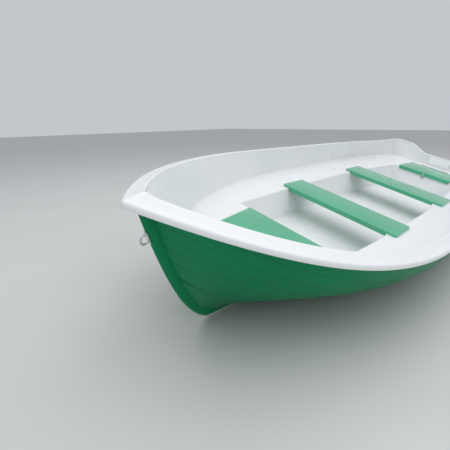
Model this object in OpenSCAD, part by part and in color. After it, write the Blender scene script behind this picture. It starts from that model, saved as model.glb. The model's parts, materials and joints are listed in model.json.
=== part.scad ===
// Rowing boat: a clinker-look moulded hull with a white inner moulding, two thwarts,
// a bow seat and a hinged stern seat. It is drawn upright and then laid as it parks
// ashore: on its keel and its port bilge.

/* [Rim] */
// Length of the rim, from the transom to the tip of the bow
rim_length = 4522; // [3800:2:5200]
// Half of the beam, at the outer edge of the rim's top
half_beam = 790; // [650:5:950]
// Half of the beam at the transom
half_beam_transom = 645; // [500:5:780]
// Place of the greatest beam, from the transom
beam_station = 2690; // [2200:10:2900]
// Fullness of the rim's outline forward
rim_fullness = 2.88; // [2.4:0.02:3.4]
// Radius that blunts the tip of the bow
nose_r = 12; // [6:1:20]
// Width of the rim's top
rim_w = 60; // [45:1:90]
// Rise of the rim's top from its outer edge to its inner edge
rim_slope = 22; // [8:1:30]
// Depth of the rim's outer face
rim_face = 24; // [16:1:40]
// Wall of the rim moulding
rim_wall = 10; // [6:1:14]

/* [Sheer] */
// Height of the rim's outer edge above the keel amidships
sheer_h = 562; // [480:2:680]
// Slope of the sheer at the bow
sheer_slope = 0.315; // [0.2:0.005:0.4]
// Place where the sheer starts to rise, from the transom
sheer_knee = 3937; // [3500:10:4300]
// Length over which the sheer's rise comes in
sheer_soft = 583; // [300:5:800]
// Upsweep of the sheer at the quarters
quarter_lift = 16; // [0:1:30]
// Length of that upsweep
quarter_l = 450; // [200:10:700]

/* [Hull] */
// Depth of the keel below the hull's bottom
keel_depth = 36; // [24:1:50]
// Half of the keel's width
keel_half_w = 35; // [25:1:50]
// Overhang of the rim past the hull's side
rim_overhang = 12; // [6:1:20]
// Wall of the hull moulding
hull_wall = 8; // [5:1:12]
// Half of the hull's width where the planks end at the stem
stem_half_w = 28; // [20:1:34]
// Number of planks on each side
plank_count = 7; // [5:1:9]
// Step at each plank's lap
plank_step = 4; // [2:0.5:6]
// Reach of the stem forward of its foot
stem_reach = 483; // [350:1:600]
// Height of the stem's foot curve at that reach
stem_height = 711; // [600:1:800]
// Fullness of the section at the stem
bow_fullness = 1.8; // [1.4:0.05:2.2]
// Fullness of the section amidships
mid_fullness = 2.85; // [2.4:0.05:3.4]
// Fullness added towards the transom
aft_fullness = 3.2; // [1.5:0.1:4]
// Thickness of the stem band in front of the planks
stem_band_t = 26; // [18:1:40]

/* [Transom] */
// Whole thickness of the transom
transom_t = 62; // [40:1:80]
// Thickness of its green outer panel
transom_panel_t = 30; // [20:1:50]
// Height of the quarters above the keel
quarter_h = 609; // [570:1:660]
// Height of the motor notch above the keel
notch_h = 531; // [480:1:560]
// Half of the notch's flat width
notch_half_w = 175; // [140:1:200]
// Width of the curve from the notch up to a quarter
notch_curve_w = 240; // [150:1:280]
// Thickness of the cap over the transom
transom_cap_t = 9; // [6:1:14]

/* [Inner moulding] */
// Height of the benches above the keel
bench_h = 395; // [340:1:440]
// Thickness of the inner moulding
liner_wall = 8; // [5:1:12]
// Half of the widest span between the side linings at the benches
bench_half_w = 716; // [620:1:760]
// Length from the transom to the bow end of the bench top
bench_length = 4150; // [3500:10:4250]
// Front of the well
well_front = 3405; // [3000:5:3550]
// Back of the well
well_back = 590; // [500:5:700]
// Half of the well's greatest width
well_half_w = 420; // [340:1:470]
// Narrowing of each side of the well towards the bow
well_taper_bow = 38; // [0:1:80]
// Narrowing of each side of the well towards the stern
well_taper_stern = 88; // [20:1:120]
// Height of the well's floor above the keel
well_floor_h = 190; // [175:1:240]
// Slope of the well's sides, as their lean in from top to floor
well_lean = 55; // [20:1:80]
// Lean of the well's end walls
well_end_lean = 22; // [0:1:40]

/* [Seats] */
// Thickness of the seat boards
seat_t = 15; // [10:1:22]
// Depth of a thwart's lip below its top
lip_depth = 34; // [26:1:50]
// Thickness of a thwart's lip
lip_t = 12; // [8:1:16]
// Width of the forward thwart
thwart_fwd_w = 278; // [220:1:340]
// Place of the forward thwart's middle
thwart_fwd_x = 2659; // [2500:1:2850]
// Half of the forward thwart's length
thwart_fwd_half = 464; // [440:1:520]
// Width of the aft thwart
thwart_aft_w = 300; // [220:1:340]
// Place of the aft thwart's middle
thwart_aft_x = 1526; // [1350:1:1700]
// Half of the aft thwart's length
thwart_aft_half = 470; // [440:1:520]
// Length of the bow seat board
bow_seat_l = 560; // [300:5:600]
// Half of the bow seat's width at its back
bow_seat_half_back = 290; // [240:1:340]
// Half of the bow seat's width at its front
bow_seat_half_front = 212; // [150:1:230]
// Thickness of the bow seat board
bow_seat_t = 10; // [6:1:15]
// Half of the stern seat's width at its front
stern_seat_half_front = 286; // [250:1:320]
// Half of the stern seat's width at its back
stern_seat_half_back = 266; // [240:1:300]
// Radius of the seat boards' corners
seat_corner_r = 14; // [6:1:24]

/* [Stern locker] */
// Half of the locker opening's width
locker_half_w = 246; // [200:1:260]
// Length of the hinge on the stern seat
hinge_l = 300; // [200:10:400]
// Radius of the hinge's knuckles
hinge_r = 6; // [5:0.5:8]
// Radius of the hinge's pin
hinge_pin_r = 2.5; // [2:0.5:4]

/* [Fittings] */
// Place of the rowlock sockets, from the transom
rowlock_x = 2205; // [1900:5:2500]
// Radius of a rowlock socket's bore
rowlock_bore_r = 6.5; // [5:0.5:10]
// Depth of a rowlock socket below the rim's top
rowlock_depth = 48; // [40:1:70]
// Half of the motor pads' width
pad_half_w = 116; // [90:1:150]
// Height of the inner motor pad
pad_h = 86; // [60:1:120]
// Height of the outer motor pad
pad_outer_h = 190; // [120:1:240]
// Thickness of the motor pads
pad_t = 6; // [4:1:12]
// Height of the bow eye's middle above the keel
bow_eye_h = 612; // [520:1:640]
// Radius of the bow eye's rod
bow_eye_rod_r = 4; // [3:0.5:6]
// Spacing of the bow eye's legs
bow_eye_w = 40; // [30:1:60]
// Reach of the bow eye forward of its plate
bow_eye_reach = 34; // [24:1:50]

/* [Hidden] */

hull_green = [0.11, 0.42, 0.27];
seat_green = [0.25, 0.62, 0.47];
gel_white = [0.92, 0.93, 0.94];
steel_grey = [0.72, 0.73, 0.75];

// Clearance between seated pieces
seat_gap = 0.3;
// Clearance of the hinged seat above its deck, and of the pin in its knuckles
lid_gap = 0.6;
pin_gap = 0.1;
// Half of the clearance between two pieces that meet on the middle line
mid_gap = seat_gap / 2;
rim_stations = 44;
hull_stations = 30;

// Outline of the rim's top outer edge, as half of the beam at x.
function shoulder(x) = min((x - beam_station) / (rim_length - beam_station), 1);
function plain_y(x) = x > beam_station
    ? half_beam * pow(1 - pow(shoulder(x), rim_fullness), 0.98)
    : half_beam - (half_beam - half_beam_transom) * pow((beam_station - x) / beam_station, 2.6);
function rim_y(x) = let (y = plain_y(x)) sqrt(y * y + 2 * nose_r * y * (1 - y / half_beam));
// Height of the rim's top outer edge at x.
function sheer_rise(x) = sqrt(pow(x - sheer_knee, 2) + pow(sheer_soft, 2)) + x - sheer_knee;
function rim_z(x) = sheer_h + sheer_slope / 2 * sheer_rise(x)
    + quarter_lift * pow(max(1 - x / quarter_l, 0), 2);

// Stations along the rim, close together at the blunt bow; t runs from bow to transom.
function station_x(t) = rim_length * (1 - pow(t, 2.2));
function rim_point(t) = [station_x(t), rim_y(station_x(t))];
function rim_chord(t) = rim_point(min(t + 0.004, 1)) - rim_point(max(t - 0.004, 0.0001));
// Outward normal of the rim's outline, seen from above.
function rim_normal(t) = let (d = rim_chord(t)) [d[1], -d[0]] / norm(d);
// Direction in which the rim's width is laid off: the normal, mitred at the bow.
function rim_out(t) =
    let (n = rim_normal(t), k = exp(-rim_point(t)[1] / mitre_l))
    [n[0] + (1 / bow_normal[0] - n[0]) * k, n[1] * (1 - k)];
bow_normal = rim_normal(0.15);
mitre_l = 62;
function rim_at(t, out, up) =
    let (p = rim_point(t) + out * rim_out(t)) [p[0], p[1], rim_z(station_x(t)) + up];

// Profile of the rim as [offset outward, height], from the inner edge over the top.
under_slope = (rim_slope + 6) / (rim_w - 2);
function rim_under(in) = -rim_wall - 6 + (in - 6) * under_slope;
rim_profile = [[-rim_w - 4, rim_slope - rim_wall], [-rim_w - 4.5, rim_slope - 3], [-rim_w, rim_slope],
               [-rim_w + 8, rim_slope - 0.6], [-24, 9.5], [-8, 4.5], [0, 0], [5, -6],
               [7, -rim_face + 7], [11, -rim_face + 3], [11, -rim_face],
               [7 - rim_wall, -rim_face], [-6, -rim_wall - 6]];

// Shape of the hull: s runs from the transom to the stem, w from the keel to the rim.
stem_foot_x = rim_length - 548;
function stem_x(z) = stem_foot_x + stem_reach * pow(max(z, 0) / stem_height, 0.655);
hull_tip_z = rim_z(rim_length) - rim_face - 10;
hull_tip_x = stem_x(hull_tip_z) - stem_band_t;
function rim_steep(x) = (rim_y(x - 4) - rim_y(x + 4)) / 8;
tip_inset = rim_y(hull_tip_x) - rim_overhang * norm([1, rim_steep(hull_tip_x)]) - stem_half_w;
function hull_top_y(s) =
    let (x = s * hull_tip_x)
    rim_y(x) - rim_overhang * norm([1, rim_steep(x)]) - tip_inset * pow(s, 16);
// Height of the hull's top edge, just under the rim at the same offset from its edge.
function hull_top_z(s) =
    let (x = s * hull_tip_x, m = rim_steep(x), in = (rim_y(x) - hull_top_y(s)) / norm([1, m]))
    rim_z(x + in * m / norm([1, m])) + rim_under(min(in, rim_w - 14)) - seat_gap - 0.5;
function lap_height(w, s) = pow(w, 2.83 - 2.19 * pow(s, 1.92));
function fullness(s) = bow_fullness + (mid_fullness - bow_fullness) * (1 - pow(s, 1.94))
    + aft_fullness * pow(max(1 - pow(s / 0.78, 2), 0), 2);
function hull_end_x(w) = stem_x(lap_height(w, 1) * (hull_tip_z - keel_depth)) - stem_band_t;
function hull_point(s, w) =
    let (h = lap_height(w, s))
    [s * hull_end_x(w),
     stem_half_w + (max(hull_top_y(s), stem_half_w) - stem_half_w) * (1 - pow(1 - h, fullness(s))),
     keel_depth + h * (hull_top_z(s) - keel_depth)];
// Outward normal of a section of the hull, in its own plane.
function hull_normal(s, w) =
    let (a = hull_point(s, max(w - 0.02, 0)), b = hull_point(s, min(w + 0.02, 1)),
         d = [b[1] - a[1], b[2] - a[2]])
    w <= 0 ? [0.35, -1] : [d[1], -d[0]] / norm(d);
function hull_off(s, w, out) =
    let (n = hull_normal(s, w)) hull_point(s, w) + [0, out * n[0], out * n[1]];
// Columns across one side, from the rim to the keel: each plank has a bottom edge that
// stands proud, a middle and a top edge that the next plank covers.
lap_columns = [for (k = [plank_count - 1:-1:0], f = k == 0 ? [1, 0.7, 0.45, 0.25, 0.1, 0] : [1, 0.5, 0])
               [(k + f) / plank_count, k == 0 ? 0 : plank_step * (1 - f)]];
function planked(s) = [for (c = lap_columns) hull_off(s, c[0], c[1] * (1 - pow(s, 24)))];
function lined(s, in) = [for (c = lap_columns) hull_off(s, c[0], -in)];
function across(side) = concat(side, [for (i = [len(side) - 1:-1:0]) [side[i][0], -side[i][1], side[i][2]]]);
function hull_s(i) = 1 - pow(1 - i / hull_stations, 1.5);

// Outline of the bench tops where the side linings meet them, as half of the width at x.
function bench_y(x) = x > bench_shoulder
    ? bench_half_w * pow(max(1 - pow((x - bench_shoulder) / (bench_length - bench_shoulder), 4.735), 0), 0.6)
    : bench_half_w - bench_taper * pow((bench_shoulder - x) / (bench_shoulder - transom_t), 1.25);
bench_shoulder = 1000;
bench_taper = 143;
// Half of the well's width at its top.
well_mid = 2000;
function well_y(x) = well_half_w - (x > well_mid
    ? well_taper_bow * pow((x - well_mid) / (well_front - well_mid), 2)
    : well_taper_stern * pow((well_mid - x) / (well_mid - well_back), 2));

// Top of the transom at y: a low notch for a motor, rising to the quarters.
function smooth(u) = let (v = min(max(u, 0), 1)) v * v * (3 - 2 * v);
function transom_top(y) = notch_h + (quarter_h - notch_h) * smooth((abs(y) - notch_half_w) / notch_curve_w);

// Size of the parked boat: its heel is the angle at which the bilge meets the ground.
bilge_angles = [for (i = [0:hull_stations], c = lap_columns)
                let (p = hull_off(hull_s(i), c[0], c[1])) if (p[1] > 4 * keel_half_w) atan2(p[2], p[1] - keel_half_w)];
heel = min(bilge_angles);
function heeled(p) = p[1] * cos(heel) + p[2] * sin(heel);
rim_ends = [for (i = [0:rim_stations], q = rim_profile) rim_at(i / rim_stations, q[0], q[1])];
park_y = (max([for (p = rim_ends) heeled(p)]) + min([for (p = rim_ends) heeled([0, -p[1], p[2]])])) / 2;
park_x = (max([for (p = rim_ends) p[0]]) - pad_t) / 2;

module parked() {
    translate([-park_x, -park_y, keel_half_w * sin(heel)]) rotate([-heel, 0, 0]) children();
}

// A closed solid between two grids of points, an outer and an inner face.
function flat(rows) = [for (row = rows, p = row) p];
module shell(outer, inner) {
    rows = len(outer);
    cols = len(outer[0]);
    n = rows * cols;
    quads = concat(
        [for (i = [0:rows - 2], j = [0:cols - 2])
            let (a = i * cols + j) [a, a + 1, a + cols + 1, a + cols]],
        [for (i = [0:rows - 2], j = [0:cols - 2])
            let (a = n + i * cols + j) [a + cols, a + cols + 1, a + 1, a]],
        [for (i = [0:rows - 2]) let (a = i * cols) [a + cols, n + a + cols, n + a, a]],
        [for (i = [0:rows - 2]) let (a = (i + 1) * cols - 1) [a, n + a, n + a + cols, a + cols]],
        [for (j = [0:cols - 2]) [j, n + j, n + j + 1, j + 1]],
        [for (j = [0:cols - 2]) let (a = n - cols + j) [a + 1, n + a + 1, n + a, a]]);
    polyhedron(concat(flat(outer), flat(inner)),
               [for (q = quads, k = [0, 1]) k == 0 ? [q[0], q[1], q[2]] : [q[0], q[2], q[3]]]);
}
// A closed solid through a row of closed sections.
module loft(sections) {
    rows = len(sections);
    cols = len(sections[0]);
    sides = [for (i = [0:rows - 2], j = [0:cols - 1])
        let (a = i * cols + j, b = i * cols + (j + 1) % cols) [a, b, b + cols, a + cols]];
    polyhedron(flat(sections),
               concat([for (q = sides, k = [0, 1]) k == 0 ? [q[0], q[1], q[2]] : [q[0], q[2], q[3]]],
                      [[for (j = [cols - 1:-1:0]) j]], [[for (j = [0:cols - 1]) (rows - 1) * cols + j]]));
}
// A level plate from an outline seen from above, with its top at z.
module plate(outline, z, t) {
    translate([0, 0, z - t]) linear_extrude(height = t) polygon(outline);
}
// A rectangle with round corners, as points.
corner_steps = 6;
function round_corner(c, r, from) = [for (i = [0:corner_steps])
    let (a = from + 90 * i / corner_steps) c + r * [cos(a), sin(a)]];
function round_rect(x0, x1, y0, y1, r) = concat(
    round_corner([x1 - r, y1 - r], r, 0), round_corner([x0 + r, y1 - r], r, 90),
    round_corner([x0 + r, y0 + r], r, 180), round_corner([x1 - r, y0 + r], r, 270));

module hull_planking() {
    color(hull_green)
    shell([for (i = [0:hull_stations]) across(planked(hull_s(i)))],
          [for (i = [0:hull_stations]) across(lined(hull_s(i), hull_wall))]);
}

module keel_bar() {
    top = keel_depth - seat_gap;
    color(hull_green)
    translate([0, keel_half_w, 0]) rotate([90, 0, 0]) linear_extrude(height = 2 * keel_half_w)
    polygon([[0, 0], [stem_foot_x, 0], [hull_end_x(0), top], [0, top]]);
}

// The band in front of the plank ends, with a round nose.
module stem_band() {
    nose = [for (i = [-4:4]) [cos(22.5 * i), sin(22.5 * i)]];
    band_top = hull_tip_z;
    color(hull_green)
    loft([for (i = [0:20])
        let (u = pow(i / 20, 1.4),
             front = [stem_x(u * band_top) + (i == 0 ? seat_gap : 0), u * band_top],
             back = [stem_x(u * (band_top - keel_depth)) - stem_band_t + seat_gap,
                     keel_depth + u * (hull_top_z(1) - keel_depth)],
             half = keel_half_w)
        concat([[back[0], -half + 3, back[1]]],
               [for (p = nose) [back[0] + (front[0] - back[0]) * (0.35 + 0.65 * p[0]), half * p[1],
                                back[1] + (front[1] - back[1]) * (0.35 + 0.65 * p[0])]],
               [[back[0], half - 3, back[1]]])]);
}

// The transom: a green outer panel and a white inner one, with a cap over both.
transom_steps = 40;
function transom_edge(half) = [for (i = [0:transom_steps]) let (y = half * (1 - 2 * i / transom_steps)) [y, transom_top(y)]];
function transom_foot(in) = [for (c = lap_columns) if (c[0] < 1) let (p = hull_off(0, c[0], -in)) [p[1], p[2]]];
transom_quarter_half = rim_y(0) - rim_w - 5;
module transom_slab(x0, x1, foot, top_drop) {
    outline = concat([for (p = transom_edge(transom_quarter_half)) [p[0], p[1] - top_drop]],
                     [for (p = foot) [-p[0], p[1]]], [for (i = [len(foot) - 1:-1:0]) foot[i]]);
    translate([x0, 0, 0]) rotate([90, 0, 90]) linear_extrude(height = x1 - x0) polygon(outline);
}
module transom_panel() {
    color(hull_green)
    transom_slab(0, transom_panel_t, transom_foot(hull_wall + seat_gap + 0.5), transom_cap_t + seat_gap);
}
module transom_inner() {
    color(gel_white)
    intersection() {
        transom_slab(transom_panel_t + seat_gap, transom_t, transom_foot(hull_wall + seat_gap + 0.5),
                     transom_cap_t + seat_gap);
        translate([0, -half_beam, bench_h - 4 * liner_wall]) cube([2 * transom_t, 2 * half_beam, quarter_h]);
    }
}
module transom_cap() {
    top = transom_edge(transom_quarter_half);
    color(gel_white)
    translate([-4, 0, 0]) rotate([90, 0, 90]) linear_extrude(height = transom_t + 8)
    polygon(concat(top, [for (i = [len(top) - 1:-1:0]) [top[i][0], top[i][1] - transom_cap_t]]));
}

// One side of the rim, from the transom to the bow's middle line.
module rim_half() {
    color(gel_white)
    difference() {
        loft(concat([for (i = [rim_stations:-1:1]) [for (q = rim_profile) rim_at(i / rim_stations, q[0], q[1])]],
                    [[for (q = rim_profile) let (p = rim_at(0.0001, q[0], q[1])) [p[0], mid_gap, p[2]]]]));
        rowlock_place(1) cylinder(h = 4 * rowlock_depth, r = socket_r + seat_gap, center = true, $fn = 48);
    }
}
module gunwale_rim_port() rim_half();
module gunwale_rim_starboard() mirror([0, 1, 0]) rim_half();

// The white lining of the boat's side, from the rim down to the bench.
lining_in = rim_w + 3.6;
lining_tip_x = hull_end_x(1) - 1;
lining_rows = [for (i = [1:rim_stations]) let (t = i / rim_stations, p = rim_at(t, -lining_in, 0))
               if (p[0] > transom_t + 20 && p[0] < lining_tip_x - liner_wall - 2 && p[1] > 2) t];
inner_tip_x = rim_at(0.0001, -lining_in, 0)[0];
function foot_x(x) = transom_t + (x - transom_t) * (bench_length - transom_t) / (inner_tip_x - transom_t);
// The top of the lining stays behind the hull's own skin at the narrow bow.
function lining_top(t, in) =
    let (p = rim_at(t, -in, rim_under(in) - seat_gap), back = in - lining_in + liner_wall, x = min(p[0], lining_tip_x - back))
    [x, min(p[1], max(hull_top_y(min(x / hull_end_x(1), 1)) - hull_wall - 1 - back, 1)), p[2]];
function lining_foot(x, out) = let (f = min(foot_x(x), bench_length - 4)) [f, bench_y(f) + out, bench_h + seat_gap];
function lining_between(a, b) =
    let (m = (a + b) / 2 - [0, 0.012 * norm(a - b), 0]) [a, [m[0], max(m[1], mid_gap), m[2]], b];
function lining_row(t, in, out) = let (a = lining_top(t, in)) lining_between(a, lining_foot(a[0], out));
function lining_tip(in, out) =
    lining_between([lining_tip_x - in + lining_in - liner_wall, mid_gap, rim_at(0.0001, -in, rim_under(in) - seat_gap)[2]],
                   [bench_length + out, mid_gap, bench_h + seat_gap]);
function lining_end(in, out) =
    let (x = transom_t + seat_gap, t = pow(1 - x / rim_length, 1 / 2.2), a = rim_at(t, -in, rim_under(in) - seat_gap))
    lining_between([x, a[1], a[2]], [x, bench_y(x) + out, bench_h + seat_gap]);
function lining_face(in, out) = concat([lining_tip(in, out)], [for (t = lining_rows) lining_row(t, in, out)], [lining_end(in, out)]);
module side_lining() {
    color(gel_white)
    shell(lining_face(lining_in - liner_wall, liner_wall), lining_face(lining_in, 0));
}
module side_lining_port() side_lining();
module side_lining_starboard() mirror([0, 1, 0]) side_lining();

// Bench tops: flat plates whose outer edges carry the side linings.
bench_steps = 16;
function bench_edge(x0, x1) = [for (i = [0:bench_steps]) let (x = x0 + (x1 - x0) * i / bench_steps) [x, bench_y(x) + liner_wall]];
function well_edge(x0, x1) = [for (i = [0:bench_steps]) let (x = x0 + (x1 - x0) * i / bench_steps) [x, well_y(x)]];
function back(list) = [for (i = [len(list) - 1:-1:0]) list[i]];
module bench() {
    color(gel_white)
    plate(concat(bench_edge(well_back, well_front), back(well_edge(well_back, well_front))), bench_h, liner_wall);
}
module bench_port() bench();
module bench_starboard() mirror([0, 1, 0]) bench();

module bow_deck() {
    length = bench_length - well_front;
    side = [for (i = [0:2 * bench_steps]) let (u = i / (2 * bench_steps), x = well_front + length * (1 - pow(1 - u, 2)))
            [x + (u == 1 ? liner_wall : 0), u == 1 ? 0 : bench_y(x) + liner_wall]];
    color(gel_white)
    plate(concat(side, [for (p = back(side)) if (p[1] > 0) [p[0], -p[1]]]), bench_h, liner_wall);
}

// The stern deck frames the locker's opening.
locker_back_x = transom_t + 130;
locker_front_x = well_back - 30;
module stern_deck() {
    side = bench_edge(transom_t + seat_gap, well_back);
    color(gel_white)
    translate([0, 0, bench_h - liner_wall]) linear_extrude(height = liner_wall) difference() {
        polygon(concat(side, [for (p = back(side)) [p[0], -p[1]]]));
        polygon(round_rect(locker_back_x, locker_front_x, -locker_half_w, locker_half_w, 20));
    }
}

// Walls of the well lean in from the benches to its floor, more so at the narrow bow.
foot_pinch = 24;
function well_foot_y(x) = well_y(x) - well_lean - foot_pinch * pow(max((x - well_mid) / (well_front - well_mid), 0), 4);
function well_side_point(x, out) = [x, well_y(x) + out, bench_h - liner_wall - seat_gap];
function floor_x(x) = let (u = (x - well_back) / (well_front - well_back))
    well_back + well_end_lean + u * (well_front - well_back - 2 * well_end_lean);
module well_side() {
    xs = [for (i = [0:bench_steps]) well_back + (well_front - well_back) * i / bench_steps];
    function foot(x, out) = [floor_x(x), well_foot_y(x) + out, well_floor_h + seat_gap];
    color(gel_white)
    shell([for (x = xs) [well_side_point(x, 0), foot(x, 0)]],
          [for (x = xs) [well_side_point(x, liner_wall), foot(x, liner_wall)]]);
}
module well_side_port() well_side();
module well_side_starboard() mirror([0, 1, 0]) well_side();

// An end wall of the well, between its sides; dir is 1 for the front and -1 for the back.
module well_end(x, dir) {
    top = bench_h - liner_wall - seat_gap;
    foot = well_floor_h + seat_gap;
    lean = dir * well_end_lean;
    half_top = well_y(x) + liner_wall;
    half_foot = well_foot_y(x) + liner_wall;
    function face(dx) = [[x + dx, half_top, top], [x - lean + dx, half_foot, foot],
                         [x - lean + dx, -half_foot, foot], [x + dx, -half_top, top]];
    color(gel_white)
    loft(dir > 0 ? [face(seat_gap), face(liner_wall)] : [face(-liner_wall), face(-seat_gap)]);
}
module well_front_wall() well_end(well_front, 1);
module locker_front() well_end(well_back, -1);

module well_floor() {
    side = [for (i = [0:bench_steps]) let (x = well_back + (well_front - well_back) * i / bench_steps)
            [floor_x(x) + (i == 0 ? -liner_wall : i == bench_steps ? liner_wall : 0),
             well_foot_y(x) + liner_wall]];
    color(gel_white)
    plate(concat(side, [for (p = back(side)) [p[0], -p[1]]]), well_floor_h, liner_wall);
}

// Seat boards lie on the benches; a thwart's lips hang into the well.
seat_top = bench_h + seat_t;
module thwart(x, width, half, lip_half) {
    color(seat_green) {
        translate([0, 0, bench_h + seat_gap]) linear_extrude(height = seat_t - seat_gap)
        polygon(round_rect(x - width / 2, x + width / 2, -half, half, seat_corner_r));
        for (side = [0, 1])
            translate([side ? x + width / 2 - lip_t : x - width / 2, -lip_half, seat_top - lip_depth])
            cube([lip_t, 2 * lip_half, lip_depth - 1]);
    }
}
module thwart_forward() thwart(thwart_fwd_x, thwart_fwd_w, thwart_fwd_half, well_y(thwart_fwd_x + thwart_fwd_w / 2) - 12);
module thwart_aft() thwart(thwart_aft_x, thwart_aft_w, thwart_aft_half, well_y(thwart_aft_x - thwart_aft_w / 2) - 12);
module bow_seat() {
    x0 = well_front + 6;
    x1 = x0 + bow_seat_l;
    color(seat_green)
    plate([[x0, -bow_seat_half_back], [x1, -bow_seat_half_front], [x1, bow_seat_half_front], [x0, bow_seat_half_back]],
          bench_h + bow_seat_t + seat_gap, bow_seat_t);
}

// The stern seat is the locker's lid. It turns on a hinge along its back edge.
hinge_x = locker_back_x - 12;
// How far the seat's front stands past the locker's front wall.
lid_reach = lip_t + 7;
hinge_z = seat_top + 2;
seat_back_x = hinge_x + hinge_r + 1.5;
module stern_seat() {
    z0 = bench_h + lid_gap;
    front = well_back + lid_reach;
    color(seat_green) {
        translate([0, 0, z0]) linear_extrude(height = seat_top - z0)
        polygon([[seat_back_x, -stern_seat_half_back], [front, -stern_seat_half_front],
                 [front, stern_seat_half_front], [seat_back_x, stern_seat_half_back]]);
        translate([front - lip_t, -stern_seat_half_front + 8, seat_top - lip_depth - 4])
        cube([lip_t, 2 * stern_seat_half_front - 16, lip_depth + 3]);
    }
}
// A fixed board behind the seat carries the other half of the hinge.
module seat_back_board() {
    color(seat_green)
    translate([hinge_x - leaf_w, -hinge_l / 2 - 4, bench_h + seat_gap])
    cube([leaf_w - hinge_r - 1.5, hinge_l + 8, seat_t - seat_gap]);
}
// One half of the hinge: a leaf and every second knuckle, on the side that dir gives.
knuckles = 5;
knuckle_l = hinge_l / knuckles;
knuckle_gap = 0.4;
leaf_t = 2;
leaf_w = 34;
leaf_z = seat_top + 0.1;
module hinge_half(first, dir) {
    finger = hinge_r + 8;
    color(steel_grey)
    difference() {
        union() {
            translate([hinge_x + (dir > 0 ? finger - 1 : -leaf_w), -hinge_l / 2, leaf_z])
            cube([leaf_w - finger + 1, hinge_l, leaf_t]);
            for (i = [first:2:knuckles - 1])
                translate([hinge_x, -hinge_l / 2 + i * knuckle_l + knuckle_gap, 0]) {
                    translate([dir > 0 ? 0 : -finger, 0, leaf_z]) cube([finger, knuckle_l - 2 * knuckle_gap, leaf_t]);
                    translate([0, 0, hinge_z]) rotate([-90, 0, 0])
                    cylinder(h = knuckle_l - 2 * knuckle_gap, r = hinge_r, $fn = 48);
                }
        }
        translate([hinge_x, 0, hinge_z]) rotate([90, 0, 0])
        cylinder(h = 2 * hinge_l, r = hinge_pin_r + pin_gap, center = true, $fn = 48);
    }
}
module seat_hinge_leaf() hinge_half(1, 1);
module deck_hinge_leaf() hinge_half(0, -1);
module hinge_pin() {
    color(steel_grey)
    translate([hinge_x, -hinge_l / 2 - 2, hinge_z]) rotate([-90, 0, 0]) cylinder(h = hinge_l + 4, r = hinge_pin_r, $fn = 48);
}

// A latch strap hangs from the seat's lip to a knob, before a keeper on the locker's front.
latch_x = well_back + lid_reach + seat_gap;
latch_foot = seat_top - 66;
module latch_strap() {
    color(steel_grey) translate([latch_x, -11, latch_foot]) cube([2, 22, seat_top - latch_foot - 2]);
}
module latch_knob() {
    color([0.15, 0.15, 0.16])
    translate([latch_x + 2.1, 0, latch_foot + 14]) rotate([0, 90, 0]) cylinder(h = 10, r = 9, $fn = 48);
}
module latch_keeper() {
    top = bench_h - liner_wall;
    lean = atan2(well_end_lean, top - well_floor_h);
    color(steel_grey)
    translate([well_back + 0.2, 0, top]) rotate([0, -lean, 0])
    translate([0, -16, latch_foot - 8 - top]) cube([3, 32, 40]);
}

// Rowlock sockets: a tube with a flange, let into the rim.
socket_r = rowlock_bore_r + 3.5;
function rowlock_at() = let (t = pow(1 - rowlock_x / rim_length, 1 / 2.2)) rim_at(t, -rim_w / 2 + 2, 11.4);
module rowlock_place(side) {
    p = rowlock_at();
    translate([p[0], side * p[1], p[2]]) rotate([-side * atan2(rim_slope - 10.1, rim_w - 32), 0, 0]) children();
}
module rowlock_socket(side) {
    color(steel_grey)
    rowlock_place(side) translate([0, 0, -rowlock_depth]) difference() {
        union() {
            cylinder(h = rowlock_depth + 4, r = socket_r, $fn = 48);
            translate([0, 0, rowlock_depth + 1.5]) cylinder(h = 4, r = socket_r + 9, $fn = 48);
        }
        translate([0, 0, -1]) cylinder(h = rowlock_depth + 9, r = rowlock_bore_r, $fn = 48);
    }
}
module rowlock_socket_port() rowlock_socket(1);
module rowlock_socket_starboard() rowlock_socket(-1);

module motor_pad(x, height, top) {
    translate([x, -pad_half_w, top - height]) cube([pad_t, 2 * pad_half_w, height]);
}
module motor_pad_inner() color(gel_white) motor_pad(transom_t + seat_gap, pad_h, notch_h - 12);
module motor_pad_outer() color([0.75, 0.62, 0.42]) motor_pad(-pad_t - seat_gap, pad_outer_h, notch_h - 14);

// The bow eye: a bent rod whose legs pass through a plate on the stem.
bow_face_x = stem_x(bow_eye_h);
bow_eye_lean = atan2(stem_x(bow_eye_h + 20) - stem_x(bow_eye_h - 20), 40);
module bow_eye_place() translate([bow_face_x + 0.4, 0, bow_eye_h]) rotate([0, bow_eye_lean, 0]) children();
module bow_eye_plate() {
    color(steel_grey)
    bow_eye_place() difference() {
        translate([0, -12, -bow_eye_w / 2 - 12]) cube([3, 24, bow_eye_w + 24]);
        for (z = [-1, 1]) translate([-1, 0, z * bow_eye_w / 2]) rotate([0, 90, 0]) cylinder(h = 6, r = bow_eye_rod_r + 0.3, $fn = 32);
    }
}
module bow_eye() {
    color(steel_grey)
    bow_eye_place() {
        for (z = [-1, 1]) translate([0.1, 0, z * bow_eye_w / 2]) rotate([0, 90, 0])
            cylinder(h = bow_eye_reach - bow_eye_w / 2 + 1, r = bow_eye_rod_r - 0.1, $fn = 32);
        translate([bow_eye_reach - bow_eye_w / 2, 0, 0]) rotate([90, 0, 0]) rotate([0, 0, -90])
            rotate_extrude(angle = 180, $fn = 64) translate([bow_eye_w / 2, 0]) circle(r = bow_eye_rod_r, $fn = 24);
    }
}

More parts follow.
